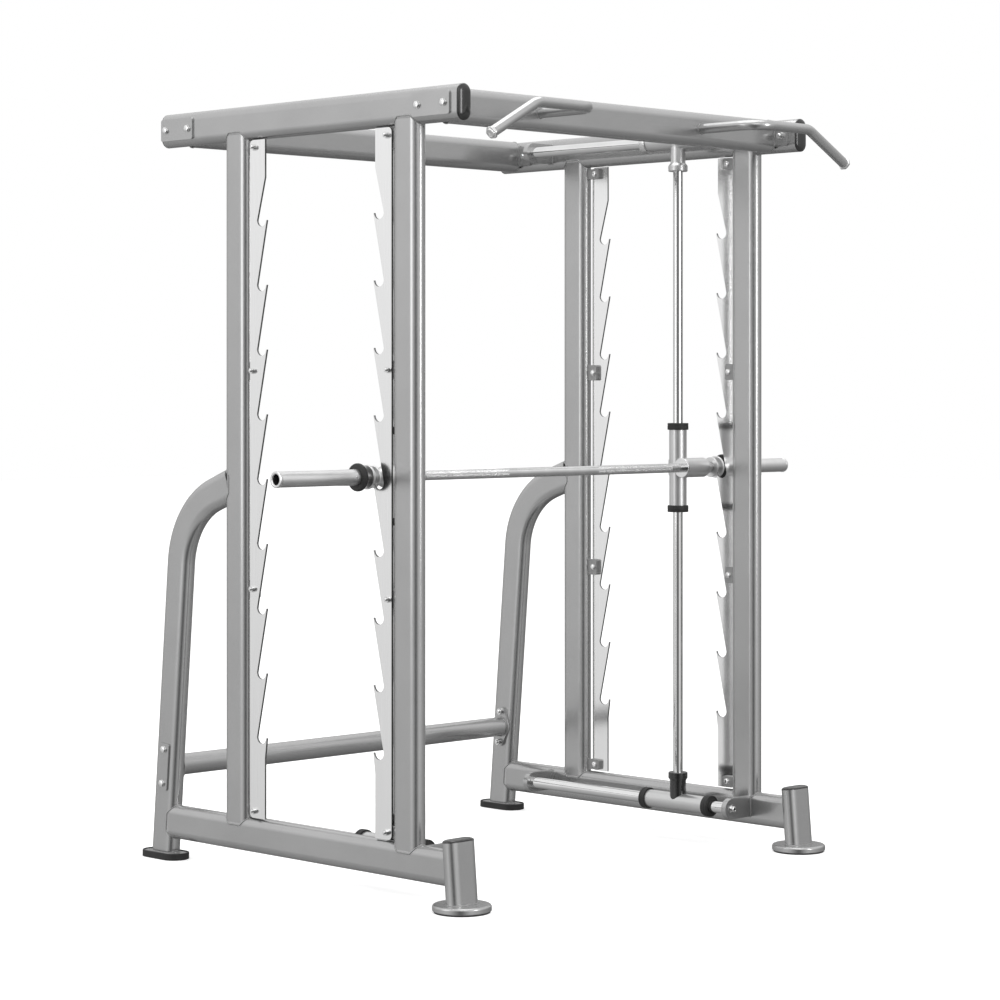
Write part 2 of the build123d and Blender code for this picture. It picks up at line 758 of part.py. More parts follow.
def socket(side, level):
    """Cup for one end of a guide rod: flared at its mouth and coped to the slider."""
    upward = 1 if level == "lower" else -1
    mouth = SOCKET_LOW_TOP if level == "lower" else SOCKET_HIGH_BOTTOM
    depth = abs(mouth - RAIL_Z[level])
    plane = Plane(origin=(side * RAIL_X, ROD_Y, mouth), x_dir=(0, 1, 0), z_dir=(0, 0, -upward))
    with BuildPart() as cup:
        with BuildSketch(plane):
            Circle(SOCKET_FLARE_R)
        extrude(amount=SOCKET_FLARE[0])
        with BuildSketch(plane.offset(SOCKET_FLARE[0])):
            Circle(SOCKET_FLARE_R)
        with BuildSketch(plane.offset(SOCKET_FLARE[1])):
            Circle(SOCKET_R[level])
        loft()
        with BuildSketch(plane):
            Circle(SOCKET_R[level])
        extrude(amount=depth)
        fillet(far_edges(cup, plane, 0), SOCKET_EDGE)
        with BuildSketch(plane):
            Circle(ROD_R + RUNNING_FIT)
        extrude(amount=depth - SHELL_R - ROD_SEAT, mode=Mode.SUBTRACT)
        add(slider_outside(side, level), mode=Mode.SUBTRACT)
    return cup.part


def guide_rod(side):
    bottom = RAIL_Z["lower"] + SHELL_R + ROD_SEAT
    top = RAIL_Z["upper"] - SHELL_R - ROD_SEAT
    return ring(along_z(side * RAIL_X, ROD_Y, bottom), ROD_R, ROD_R - ROD_WALL, top - bottom)


for side_name, side in SIDES.items():
    starts = [slider_start(side, level) for level in RAIL_Z]
    for level, start in zip(RAIL_Z, starts):
        save(shell(start, RAIL_BUSH_R), f"{side_name}_{level}_slider")
        save(socket(side, level), f"{side_name}_{level}_socket")
    collars = [collar(start, RAIL_R + HOLE_PLAY, flip) for start in starts for flip in (False, True)]
    save(group(collars), f"{side_name}_slider_collars")
    slider_bushes = [bush for start in starts for bush in bushes(start, RAIL_BUSH_R, RAIL_R)]
    save(group(slider_bushes), f"{side_name}_slider_bushes")
    save(guide_rod(side), f"{side_name}_guide_rod")


# ---------------------------------------------------------------- carriages


def carriage_start(side):
    return along_z(side * RAIL_X, ROD_Y, BAR_Z - SHELL_LENGTH / 2)


def bar_plane(side, x):
    """Section plane of the bar at a distance from the middle, facing outward."""
    return Plane(origin=(side * x, BAR_Y, BAR_Z), x_dir=(0, 0, 1), z_dir=(side, 0, 0))


def bar_bore(side, radius):
    """Round bar along the bar's axis, from in front of the boss to past its nose."""
    start = BOSS_INNER_X - 2 * BUSH_FLANGE_T
    return round_bar(bar_plane(side, start), radius, NOSE_END_X - start)


def saddle(side):
    """Block that joins the boss to the shell, with rounded edges behind."""
    back = ROD_Y + SADDLE_REACH
    middle = (side * RAIL_X + side * (BOSS_INNER_X - RAIL_X + SADDLE_REACH) / 2, (BAR_Y + back) / 2)
    with BuildPart() as block:
        with BuildSketch(Plane.XY.offset(BAR_Z - SADDLE_HEIGHT / 2)):
            with Locations(middle):
                Rectangle(RAIL_X - BOSS_INNER_X + SADDLE_REACH, back - BAR_Y)
        extrude(amount=SADDLE_HEIGHT)
        fillet(block.edges().filter_by(Axis.Z).group_by(Axis.Y)[-1], SADDLE_EDGE)
    return block.part


def carriage_body(side):
    """Shell with a saddle block at its waist and a tapered boss beside it that carries the bar."""
    start = carriage_start(side)
    with BuildPart() as body:
        with BuildSketch(start.offset(COLLAR_LIP)):
            Circle(SHELL_R)
        extrude(amount=SHELL_LENGTH - 2 * COLLAR_LIP)
        add(saddle(side))
        with BuildSketch(bar_plane(side, BOSS_INNER_X)):
            Circle(BOSS_R)
        extrude(amount=BOSS_OUTER_X - BOSS_INNER_X)
        with BuildSketch(bar_plane(side, BOSS_OUTER_X)):
            Circle(BOSS_R)
        with BuildSketch(bar_plane(side, NOSE_END_X)):
            Circle(NOSE_END_R)
        loft()
        with BuildSketch(start):
            Circle(ROD_BUSH_R)
        extrude(amount=SHELL_LENGTH, mode=Mode.SUBTRACT)
        add(bar_bore(side, BUSH_SLEEVE_R), mode=Mode.SUBTRACT)
    return body.part


def bar_bush(side):
    """Chrome-flanged bush that lines the boss; its flange is coped to the shell behind it."""
    shell_outside = round_bar(carriage_start(side), SHELL_R, SHELL_LENGTH)
    with BuildPart() as bush:
        flange_plane = bar_plane(side, BOSS_INNER_X - BUSH_FLANGE_T)
        with BuildSketch(flange_plane):
            Circle(BOSS_R)
        extrude(amount=BUSH_FLANGE_T)
        fillet(far_edges(bush, flange_plane, 0), FLANGE_EDGE)
        add(shell_outside, mode=Mode.SUBTRACT)
        with BuildSketch(bar_plane(side, BOSS_INNER_X)):
            Circle(BUSH_SLEEVE_R)
        extrude(amount=NOSE_END_X - BOSS_INNER_X)
        with BuildSketch(bar_plane(side, BOSS_INNER_X - BUSH_FLANGE_T)):
            Circle(BAR_R + RUNNING_FIT)
        extrude(amount=NOSE_END_X, mode=Mode.SUBTRACT)
    return bush.part


for side_name, side in SIDES.items():
    start = carriage_start(side)
    save(carriage_body(side), f"{side_name}_carriage")
    collars = [collar(start, ROD_R + HOLE_PLAY, flip) for flip in (False, True)]
    save(group(collars), f"{side_name}_carriage_collars")
    save(group(bushes(start, ROD_BUSH_R, ROD_R)), f"{side_name}_carriage_bushes")
    save(bar_bush(side), f"{side_name}_bar_bush")


# ---------------------------------------------------------------- bar


def bar_flanges():
    """Chrome collars on both sides of each pair of catch plates, which keep the bar central."""
    return group(
        [
            ring(bar_plane(side, inner), radius, BAR_R, outer - inner, edge=FLANGE_EDGE)
            for side in SIDES.values()
            for inner, outer, radius in BAR_FLANGES
        ]
    )


def rubber_ring(side):
    return ring(bar_plane(side, RING_SPAN[0]), RING_R, BAR_R, RING_SPAN[1] - RING_SPAN[0], edge=RING_EDGE)


def sleeve(side):
    """Plate sleeve: a little wider where it meets the rubber ring, and open at its end."""
    start = RING_SPAN[1]
    flare_end = start + SLEEVE_FLARE
    with BuildPart() as tube:
        with BuildSketch(bar_plane(side, start)):
            Circle(SLEEVE_FLARE_R)
        with BuildSketch(bar_plane(side, flare_end)):
            Circle(SLEEVE_R)
        loft()
        with BuildSketch(bar_plane(side, flare_end)):
            Circle(SLEEVE_R)
        extrude(amount=SLEEVE_END_X - flare_end)
        chamfer(far_edges(tube, bar_plane(side, flare_end), SLEEVE_END_X - flare_end), SLEEVE_CHAMFER)
        with BuildSketch(bar_plane(side, start)):
            Circle(BAR_R)
        extrude(amount=SLEEVE_END_X - start, mode=Mode.SUBTRACT)
    return tube.part


save(ring(along_x(-BAR_HALF, BAR_Y, BAR_Z), BAR_R, BAR_R - BAR_WALL, 2 * BAR_HALF), "bar_shaft")
save(bar_flanges(), "bar_flanges")
save(group(both_sides(rubber_ring)), "bar_rings")
save(group(both_sides(sleeve)), "bar_sleeves")


# ---------------------------------------------------------------- pull-up handles


def handle_point(side, point):
    return (side * point[0], point[1], point[2])


def pull_up_handle(side):
    """Bent tube: forward from the crossmember, outward, then down and outward to its end cap."""
    points = [handle_point(side, point) for point in HANDLE_ROUTE]
    section_plane = Plane(origin=points[0], z_dir=(0, -1, 0))
    with BuildSketch(section_plane) as section:
        Circle(HANDLE_R)
        Circle(HANDLE_BORE_R, mode=Mode.SUBTRACT)
    with BuildPart() as handle:
        with BuildLine() as path:
            FilletPolyline(*points, radius=HANDLE_BEND_R)
        sweep(section.sketch, path=path.wires()[0])
    return handle.part


def handle_cap(side):
    end = Vector(handle_point(side, HANDLE_ROUTE[-1]))
    direction = end - Vector(handle_point(side, HANDLE_ROUTE[-2]))
    plane = Plane(origin=end, x_dir=(0, 1, 0), z_dir=direction.normalized())
    with BuildPart() as cap:
        with BuildSketch(plane):
            Circle(HANDLE_CAP_R)
        extrude(amount=HANDLE_CAP_T)
        fillet(far_edges(cap, plane, 0), HANDLE_CAP_EDGES[0])
        fillet(far_edges(cap, plane, HANDLE_CAP_T), HANDLE_CAP_EDGES[1])
    return cap.part


for side_name, side in SIDES.items():
    save(pull_up_handle(side), f"{side_name}_pull_up_handle")
save(group(both_sides(handle_cap)), "handle_caps")
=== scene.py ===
import json
from math import atan2, cos, hypot, pi, radians, sin, sqrt

import bmesh
import bpy
from mathutils import Matrix, Vector


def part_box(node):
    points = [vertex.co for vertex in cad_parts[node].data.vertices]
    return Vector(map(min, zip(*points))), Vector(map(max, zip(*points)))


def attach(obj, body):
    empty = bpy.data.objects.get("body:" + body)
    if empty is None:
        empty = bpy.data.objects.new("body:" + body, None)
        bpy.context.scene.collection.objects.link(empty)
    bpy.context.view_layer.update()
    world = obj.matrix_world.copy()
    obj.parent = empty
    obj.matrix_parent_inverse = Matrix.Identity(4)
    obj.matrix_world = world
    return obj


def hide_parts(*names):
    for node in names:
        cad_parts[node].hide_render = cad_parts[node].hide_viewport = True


# Looks for the smith machine: finishes for every CAD piece, and the small turned, moulded and welded
# details that sit on them. Metres, in the row frame: +Z up, +X to the right, -Y to the front.

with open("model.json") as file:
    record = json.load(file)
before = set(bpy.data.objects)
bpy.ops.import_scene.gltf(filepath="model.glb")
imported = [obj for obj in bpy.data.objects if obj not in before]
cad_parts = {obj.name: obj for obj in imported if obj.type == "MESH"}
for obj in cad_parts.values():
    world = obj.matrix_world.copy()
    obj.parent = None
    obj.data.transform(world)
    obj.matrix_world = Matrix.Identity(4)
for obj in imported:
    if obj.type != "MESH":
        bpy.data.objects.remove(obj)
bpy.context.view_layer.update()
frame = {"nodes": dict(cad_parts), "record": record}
SIDES = {"left": -1, "right": 1}
ENDS = {"front": -1, "rear": 1}
MM = 0.001

CAMERA_PLACE = (-6.0288, -6.0499, 1.4001)
CAMERA_TURN = -45.03
CAMERA_LENS = 102.27
CAMERA_SHIFT = -0.1103

MIDDLE = (0.0, 0.0, 1.1)
SOFTBOXES = (  # name, place, what it faces, width and height, power
    ("key_softbox", (-3.6, -4.6, 4.2), MIDDLE, (3.0, 3.0), 30.0),
    ("left_softbox", (-5.4, 1.2, 2.4), MIDDLE, (2.4, 3.6), 32.0),
    ("front_softbox", (0.7, -5.6, 2.4), MIDDLE, (1.0, 3.0), 52.0),
    ("top_softbox", (0.0, 0.2, 5.2), (0.0, 0.0, 0.0), (3.4, 3.4), 70.0),
)

# Studio brightness round the horizon, in degrees from the left through the front: tall softboxes at
# the left and the front, a dark wall by the camera, and another across from it.
HORIZON = (
    (0.0, 1.05),
    (16.0, 0.62),
    (34.0, 0.05),
    (46.0, 0.05),
    (60.0, 0.55),
    (80.0, 1.15),
    (107.0, 0.90),
    (137.0, 0.62),
    (180.0, 0.36),
    (225.0, 0.30),
    (260.0, 0.60),
    (283.0, 0.80),
    (319.0, 1.02),
    (347.0, 1.30),
    (360.0, 1.05),
)
# From straight down (0) through level (0.5) to straight up (1): what the brightness above is scaled by,
# and how far an even sky takes its place.
HEIGHT_SCALE = ((0.0, 0.42), (0.34, 0.50), (0.45, 0.70), (0.54, 0.85), (0.63, 1.0), (1.0, 1.0))
SKY_SHARE = ((0.0, 0.0), (0.60, 0.0), (0.76, 1.0), (1.0, 1.0))
SKY_LEVEL = 0.92
WORLD_STRENGTH = 1.04

FLOOR_SIZE = 60.0
FLOOR_FADE = 8.0  # distance from the middle at which the floor gives back its full level
FLOOR_LEVELS = ((0.15, 0.40), (1.0, 0.66))  # share of that distance, level
FLOOR_GLOW = 0.42

BAR_AXIS = (-0.2440, 1.1586)  # y and z
KNURL_SPAN = (0.19, 0.52)
KNURL_PITCH = 0.0024
KNURL_TEETH = 36.0


# ---------------------------------------------------------------- camera, light and floor


def make_camera():
    camera = bpy.data.objects.new("camera", bpy.data.cameras.new("camera"))
    camera.data.sensor_width = 36.0
    camera.data.lens = CAMERA_LENS
    camera.data.shift_y = CAMERA_SHIFT
    camera.data.clip_end = 100.0
    camera.location = CAMERA_PLACE
    camera.rotation_euler = (radians(90.0), 0.0, radians(CAMERA_TURN))
    bpy.context.scene.collection.objects.link(camera)
    bpy.context.scene.camera = camera


def area_light(name, place, aim, size, power):
    light = bpy.data.lights.new(name, "AREA")
    light.shape = "RECTANGLE"
    light.size, light.size_y = size
    light.energy = power
    lamp = bpy.data.objects.new(name, light)
    lamp.location = place
    lamp.rotation_euler = (Vector(aim) - Vector(place)).to_track_quat("-Z", "Y").to_euler()
    bpy.context.scene.collection.objects.link(lamp)


def make_lights():
    for softbox in SOFTBOXES:
        area_light(*softbox)


def level_curve(tree, value, stops):
    """A brightness curve over a value from 0 to 1."""
    ramp = tree.nodes.new("ShaderNodeValToRGB")
    while len(ramp.color_ramp.elements) < len(stops):
        ramp.color_ramp.elements.new(0.5)
    for element, (place, level) in zip(ramp.color_ramp.elements, stops):
        element.position = place
        element.color = (level, level, level, 1.0)
    tree.links.new(value, ramp.inputs[0])
    return ramp.outputs["Color"]


def view_direction(tree):
    """Which way a ray leaves the studio: its turn round the horizon and its height, both from 0 to 1."""
    direction = tree.nodes.new("ShaderNodeTexCoord")
    split = tree.nodes.new("ShaderNodeSeparateXYZ")
    tree.links.new(direction.outputs["Generated"], split.inputs[0])
    angle = tree.nodes.new("ShaderNodeMath")
    angle.operation = "ARCTAN2"
    tree.links.new(split.outputs["Y"], angle.inputs[0])
    tree.links.new(split.outputs["X"], angle.inputs[1])
    turn = tree.nodes.new("ShaderNodeMapRange")
    turn.inputs["From Min"].default_value = -pi
    turn.inputs["From Max"].default_value = pi
    tree.links.new(angle.outputs[0], turn.inputs["Value"])
    height = tree.nodes.new("ShaderNodeMapRange")
    height.inputs["From Min"].default_value = -1.0
    tree.links.new(split.outputs["Z"], height.inputs["Value"])
    return turn.outputs[0], height.outputs[0]


def studio_brightness(tree):
    """The ring of softboxes, dimmer towards the floor, under an even sky."""
    turn, height = view_direction(tree)
    around = level_curve(tree, turn, [(degrees / 360.0, level) for degrees, level in HORIZON])
    share = level_curve(tree, height, SKY_SHARE)
    walls = tree.nodes.new("ShaderNodeMix")
    walls.data_type = "RGBA"
    walls.blend_type = "MULTIPLY"
    walls.inputs["Factor"].default_value = 1.0
    tree.links.new(around, walls.inputs["A"])
    tree.links.new(level_curve(tree, height, HEIGHT_SCALE), walls.inputs["B"])
    studio = tree.nodes.new("ShaderNodeMix")
    studio.data_type = "RGBA"
    studio.inputs["B"].default_value = (SKY_LEVEL, SKY_LEVEL, SKY_LEVEL, 1.0)
    tree.links.new(share, studio.inputs["Factor"])
    tree.links.new(walls.outputs["Result"], studio.inputs["A"])
    return studio.outputs["Result"]


def make_world():
    """Pale studio: white behind the machine, and a ring of tall softboxes for what lights it."""
    world = bpy.data.worlds.new("studio")
    bpy.context.scene.world = world
    world.use_nodes = True
    tree = world.node_tree
    tree.nodes.clear()
    studio = tree.nodes.new("ShaderNodeBackground")
    studio.inputs["Strength"].default_value = WORLD_STRENGTH
    tree.links.new(studio_brightness(tree), studio.inputs["Color"])
    backdrop = tree.nodes.new("ShaderNodeBackground")
    backdrop.inputs["Color"].default_value = (1.0, 1.0, 1.0, 1.0)
    ray = tree.nodes.new("ShaderNodeLightPath")
    mix = tree.nodes.new("ShaderNodeMixShader")
    output = tree.nodes.new("ShaderNodeOutputWorld")
    tree.links.new(ray.outputs["Is Camera Ray"], mix.inputs[0])
    tree.links.new(studio.outputs[0], mix.inputs[1])
    tree.links.new(backdrop.outputs[0], mix.inputs[2])
    tree.links.new(mix.outputs[0], output.inputs["Surface"])


# ---------------------------------------------------------------- node helpers


class Graph:
    """A material's nodes, with short calls for the kinds that the finishes below share."""

    def __init__(self, name):
        self.material = bpy.data.materials.new(name)
        self.material.use_nodes = True
        self.nodes = self.material.node_tree.nodes
        self.links = self.material.node_tree.links
        self.shader = self.nodes["Principled BSDF"]
        self.place = self.nodes.new("ShaderNodeTexCoord").outputs["Object"]

    def socket(self, key):
        """The shader's input, by its name in lower case with underscores."""
        names = {name.lower().replace(" ", "_"): name for name in self.shader.inputs.keys()}
        return self.shader.inputs[names[key]]

    def set(self, **values):
        for key, value in values.items():
            self.socket(key).default_value = value

    def join(self, output, key):
        self.links.new(output, self.socket(key))

    def stretched(self, scale):
        mapping = self.nodes.new("ShaderNodeMapping")
        mapping.inputs["Scale"].default_value = scale
        self.links.new(self.place, mapping.inputs["Vector"])
        return mapping.outputs[0]

    def noise(self, scale, detail=3.0, roughness=0.5, vector=None):
        texture = self.nodes.new("ShaderNodeTexNoise")
        texture.inputs["Scale"].default_value = scale
        texture.inputs["Detail"].default_value = detail
        texture.inputs["Roughness"].default_value = roughness
        self.links.new(vector or self.place, texture.inputs["Vector"])
        return texture.outputs["Fac"]

    def ramp(self, value, stops):
        ramp = self.nodes.new("ShaderNodeValToRGB")
        while len(ramp.color_ramp.elements) < len(stops):
            ramp.color_ramp.elements.new(0.5)
        for element, (place, color) in zip(ramp.color_ramp.elements, stops):
            element.position = place
            element.color = (*color, 1.0)
        self.links.new(value, ramp.inputs[0])
        return ramp.outputs["Color"]

    def math(self, operation, first, second=None):
        """A Math node. Each input is another node's output or a number."""
        node = self.nodes.new("ShaderNodeMath")
        node.operation = operation
        for socket, value in zip(node.inputs, (first, second)):
            if isinstance(value, bpy.types.NodeSocket):
                self.links.new(value, socket)
            elif value is not None:
                socket.default_value = value
        return node.outputs[0]

    def rescale(self, value, low, high):
        node = self.nodes.new("ShaderNodeMapRange")
        node.inputs["To Min"].default_value = low
        node.inputs["To Max"].default_value = high
        self.links.new(value, node.inputs["Value"])
        return node.outputs["Result"]

    def blend(self, factor, first, second):
        mix = self.nodes.new("ShaderNodeMix")
        mix.data_type = "RGBA"
        self.links.new(factor, mix.inputs["Factor"])
        self.links.new(first, mix.inputs["A"])
        self.links.new(second, mix.inputs["B"])
        return mix.outputs["Result"]

    def mix(self, factor, first, second):
        """One shader where the factor is 0, and another where it is 1."""
        node = self.nodes.new("ShaderNodeMixShader")
        self.links.new(factor, node.inputs[0])
        self.links.new(first.outputs[0], node.inputs[1])
        self.links.new(second.outputs[0], node.inputs[2])
        return node

    def bump(self, height, strength, distance, under=None):
        bump = self.nodes.new("ShaderNodeBump")
        bump.inputs["Strength"].default_value = strength
        bump.inputs["Distance"].default_value = distance
        self.links.new(height, bump.inputs["Height"])
        if under:
            self.links.new(under, bump.inputs["Normal"])
        return bump.outputs["Normal"]


def gray(level):
    return (level, level, level)


# ---------------------------------------------------------------- finishes


def frame_paint():
    """Metallic silver-gray powder coat: fine flake, orange peel, faint handling marks."""
    g = Graph("frame_paint")
    cloud = g.noise(3.5, 5.0, 0.6)
    flake = g.noise(900.0, 1.0)
    tone = g.ramp(cloud, ((0.30, gray(0.44)), (0.70, gray(0.49))))
    fleck = g.ramp(flake, ((0.35, gray(0.35)), (0.68, gray(0.59))))
    share = g.rescale(g.noise(40.0), 0.16, 0.28)
    g.join(g.blend(share, tone, fleck), "base_color")
    scuffs = g.noise(14.0, 6.0, 0.7)
    g.join(g.rescale(scuffs, 0.21, 0.29), "roughness")
    peel = g.bump(g.noise(520.0, 2.0), 0.10, 0.0003)
    g.join(g.bump(flake, 0.05, 0.0002, peel), "normal")
    g.set(metallic=0.82, coat_weight=0.25, coat_roughness=0.22)
    return g.material


def weld_paint():
    """The same paint made rougher and darker: painted shade along the weld creases, and the same darker
    paint on the small lugs.
    """
    g = Graph("weld_paint")
    # darker than the frame paint: painted shade along the joints
    g.join(g.ramp(g.noise(240.0, 4.0), ((0.3, gray(0.30)), (0.7, gray(0.40)))), "base_color")
    g.join(g.rescale(g.noise(120.0, 3.0), 0.42, 0.55), "roughness")
    g.join(g.bump(g.noise(700.0, 2.0), 0.12, 0.0003), "normal")
    g.set(metallic=0.7)
    return g.material


def shell_paint():
    """Lighter satin silver on the sliders, carriages and upper sockets."""
    g = Graph("shell_paint")
    tone = g.ramp(g.noise(9.0, 4.0), ((0.3, gray(0.62)), (0.7, gray(0.68))))
    fleck = g.ramp(g.noise(1100.0, 1.0), ((0.4, gray(0.54)), (0.65, gray(0.76))))
    g.join(g.blend(g.rescale(g.noise(60.0), 0.15, 0.3), tone, fleck), "base_color")
    g.join(g.rescale(g.noise(22.0, 5.0, 0.65), 0.26, 0.36), "roughness")
    g.join(g.bump(g.noise(600.0, 2.0), 0.07, 0.0002), "normal")
    g.set(metallic=0.85, coat_weight=0.2, coat_roughness=0.15)
    return g.material


def chrome():
    """Hard chrome: nearly a mirror, with faint draw lines and breathed-on patches of haze."""
    g = Graph("chrome")
    g.join(g.ramp(g.noise(12.0, 4.0), ((0.3, gray(0.78)), (0.7, gray(0.84)))), "base_color")
    haze = g.noise(30.0, 6.0, 0.7)
    g.join(g.rescale(haze, 0.05, 0.13), "roughness")
    g.join(g.bump(g.noise(260.0, 3.0), 0.02, 0.0002), "normal")
    g.set(metallic=1.0)
    return g.material


def satin_chrome():
    """Ground and plated sleeves: softer than the rods, with turning lines round them."""
    g = Graph("satin_chrome")
    lines = g.noise(1.0, 3.0, 0.6, g.stretched((900.0, 6.0, 6.0)))
    g.join(g.ramp(g.noise(16.0, 4.0), ((0.3, gray(0.74)), (0.7, gray(0.82)))), "base_color")
    g.join(g.rescale(g.noise(34.0, 5.0, 0.7), 0.27, 0.36), "roughness")
    g.join(g.bump(lines, 0.05, 0.0001), "normal")
    g.set(metallic=1.0)
    return g.material


def painted_bore_shade():
    """Painted shade inside the sleeves' bores and the screws' sockets: near-black unplated steel with an
    oily sheen.
    """
    g = Graph("painted_bore_shade")
    # near-black colour: painted shade of a deep bore, over unplated steel
    g.join(g.ramp(g.noise(60.0, 4.0), ((0.3, gray(0.030)), (0.7, gray(0.055)))), "base_color")
    g.join(g.rescale(g.noise(90.0, 4.0), 0.35, 0.5), "roughness")
    g.join(g.bump(g.noise(1.0, 3.0, 0.6, g.stretched((700.0, 9.0, 9.0))), 0.08, 0.0001), "normal")
    g.set(metallic=0.6)
    return g.material


def knurled_chrome():
    """The bar's shaft: satin chrome with diamond knurling where hands go."""
    g = Graph("knurled_chrome")
    split = g.nodes.new("ShaderNodeSeparateXYZ")
    g.links.new(g.place, split.inputs[0])
    along = split.outputs["X"]
    rearward = g.math("SUBTRACT", split.outputs["Y"], BAR_AXIS[0])
    upward = g.math("SUBTRACT", split.outputs["Z"], BAR_AXIS[1])
    around = g.math("ARCTAN2", upward, rearward)
    lead = g.math("MULTIPLY", along, 2 * pi / KNURL_PITCH)
    turns = g.math("MULTIPLY", around, KNURL_TEETH)
    left_hand = g.math("SINE", g.math("ADD", lead, turns))
    right_hand = g.math("SINE", g.math("SUBTRACT", lead, turns))
    diamonds = g.math("MINIMUM", left_hand, right_hand)
    reach = g.math("ABSOLUTE", along)
    begun = g.math("GREATER_THAN", reach, KNURL_SPAN[0])
    zone = g.math("MULTIPLY", begun, g.math("LESS_THAN", reach, KNURL_SPAN[1]))
    knurl = g.math("MULTIPLY", diamonds, zone)
    g.join(g.ramp(g.noise(20.0, 4.0), ((0.3, gray(0.70)), (0.7, gray(0.80)))), "base_color")
    g.join(g.rescale(g.noise(50.0, 5.0, 0.7), 0.18, 0.28), "roughness")
    g.join(g.bump(knurl, 0.55, 0.0004), "normal")
    g.set(metallic=1.0)
    return g.material


def polished_steel():
    """Bright plate, polished along its length, with faint long scratches, and painted shade on its edges:
    every face that does not point sideways is dark.
    """
    g = Graph("polished_steel")
    grain = g.noise(1.0, 4.0, 0.6, g.stretched((40.0, 420.0, 5.0)))
    face = g.ramp(grain, ((0.3, gray(0.90)), (0.7, gray(0.96))))
    # painted shade: a dark colour for the edge faces, chosen by their normal
    cut = g.ramp(g.noise(300.0, 3.0), ((0.3, gray(0.14)), (0.7, gray(0.24))))
    across = g.nodes.new("ShaderNodeSeparateXYZ")
    g.links.new(g.nodes.new("ShaderNodeNewGeometry").outputs["Normal"], across.inputs[0])
    g.join(g.blend(g.math("ABSOLUTE", across.outputs["X"]), cut, face), "base_color")
    wear = g.noise(8.0, 5.0, 0.7)
    g.join(g.rescale(wear, 0.10, 0.20), "roughness")
    g.join(g.bump(grain, 0.03, 0.0002), "normal")
    g.set(metallic=1.0)
    return g.material


def black_rubber():
    """Moulded rubber: dusty charcoal, with a fine pebble."""
    g = Graph("black_rubber")
    dust = g.noise(18.0, 6.0, 0.7)
    g.join(g.ramp(dust, ((0.35, gray(0.018)), (0.75, gray(0.032)))), "base_color")
    g.join(g.rescale(g.noise(45.0, 4.0), 0.48, 0.66), "roughness")
    g.join(g.bump(g.noise(700.0, 3.0), 0.16, 0.0003), "normal")
    g.set(specular_ior_level=0.45)
    return g.material


def black_plastic():
    """Glossy moulded plastic of the end caps and the lower sockets."""
    g = Graph("black_plastic")
    g.join(g.ramp(g.noise(15.0, 4.0), ((0.3, gray(0.012)), (0.7, gray(0.020)))), "base_color")
    g.join(g.rescale(g.noise(35.0, 5.0, 0.6), 0.15, 0.22), "roughness")
    g.join(g.bump(g.noise(420.0, 2.0), 0.04, 0.0002), "normal")
    g.set(specular_ior_level=0.5, coat_weight=0.5, coat_roughness=0.10)
    return g.material


def zinc_fastener():
    """Bright zinc plate, slightly cloudy."""
    g = Graph("zinc_fastener")
    g.join(g.ramp(g.noise(160.0, 4.0), ((0.3, gray(0.78)), (0.7, gray(0.90)))), "base_color")
    g.join(g.rescale(g.noise(90.0, 5.0, 0.6), 0.08, 0.18), "roughness")
    g.join(g.bump(g.noise(900.0, 2.0), 0.05, 0.0001), "normal")
    g.set(metallic=1.0)
    return g.material


def bearing_polymer():
    """Natural bearing polymer, seen only in the bores."""
    g = Graph("bearing_polymer")
    g.join(g.ramp(g.noise(60.0, 4.0), ((0.3, (0.62, 0.60, 0.54)), (0.7, (0.70, 0.68, 0.62)))), "base_color")
    g.join(g.rescale(g.noise(120.0), 0.45, 0.6), "roughness")
    g.join(g.bump(g.noise(800.0), 0.05, 0.0002), "normal")
    return g.material


def floor_finish():
    """Pale matt studio floor: white in the picture, and darker in the light it gives back.

    It is clear in a reflection, so that the softboxes' bands run on down the uprights.
    """
    g = Graph("floor")
    g.join(g.ramp(g.noise(1.2, 4.0), ((0.3, gray(0.90)), (0.7, gray(0.92)))), "base_color")
    g.join(g.rescale(g.noise(6.0), 0.70, 0.80), "roughness")
    g.set(emission_color=(1.0, 1.0, 1.0, 1.0), emission_strength=FLOOR_GLOW)
    reach = g.nodes.new("ShaderNodeVectorMath")
    reach.operation = "LENGTH"
    g.links.new(g.place, reach.inputs[0])
    far = g.math("DIVIDE", reach.outputs["Value"], FLOOR_FADE)
    dim = g.nodes.new("ShaderNodeBsdfDiffuse")
    levels = [(share, gray(level)) for share, level in FLOOR_LEVELS]
    g.links.new(g.ramp(far, levels), dim.inputs["Color"])
    ray = g.nodes.new("ShaderNodeLightPath")
    given_back = g.mix(ray.outputs["Is Glossy Ray"], dim, g.nodes.new("ShaderNodeBsdfTransparent"))
    surface = g.mix(ray.outputs["Is Camera Ray"], given_back, g.shader)
    g.links.new(surface.outputs[0], g.nodes["Material Output"].inputs["Surface"])
    return g.material


FINISHES = {
    make.__name__: make()
    for make in (
        frame_paint,
        weld_paint,
        shell_paint,
        chrome,
        satin_chrome,
        painted_bore_shade,
        knurled_chrome,
        polished_steel,
        black_rubber,
        black_plastic,
        zinc_fastener,
        bearing_polymer,
    )
}
SPECIAL_FINISHES = {
    "bar_shaft": "knurled_chrome",
    "bar_flanges": "satin_chrome",
    "catch_tabs": "weld_paint",
}


def dress_cad_nodes():
    """Gives every CAD node its special finish, or else the one that the record's material slot names."""
    for part in frame["record"]["subparts"]:
        finish = SPECIAL_FINISHES.get(part["node"], part["material_slot"])
        mesh = frame["nodes"][part["node"]].data
        mesh.materials.clear()
        mesh.materials.append(FINISHES[finish])


def make_floor():
    bpy.ops.mesh.primitive_grid_add(x_subdivisions=4, y_subdivisions=4, size=FLOOR_SIZE)
    floor = bpy.context.object
    floor.name = "floor"
    floor.data.materials.append(floor_finish())


# ---------------------------------------------------------------- mesh helpers


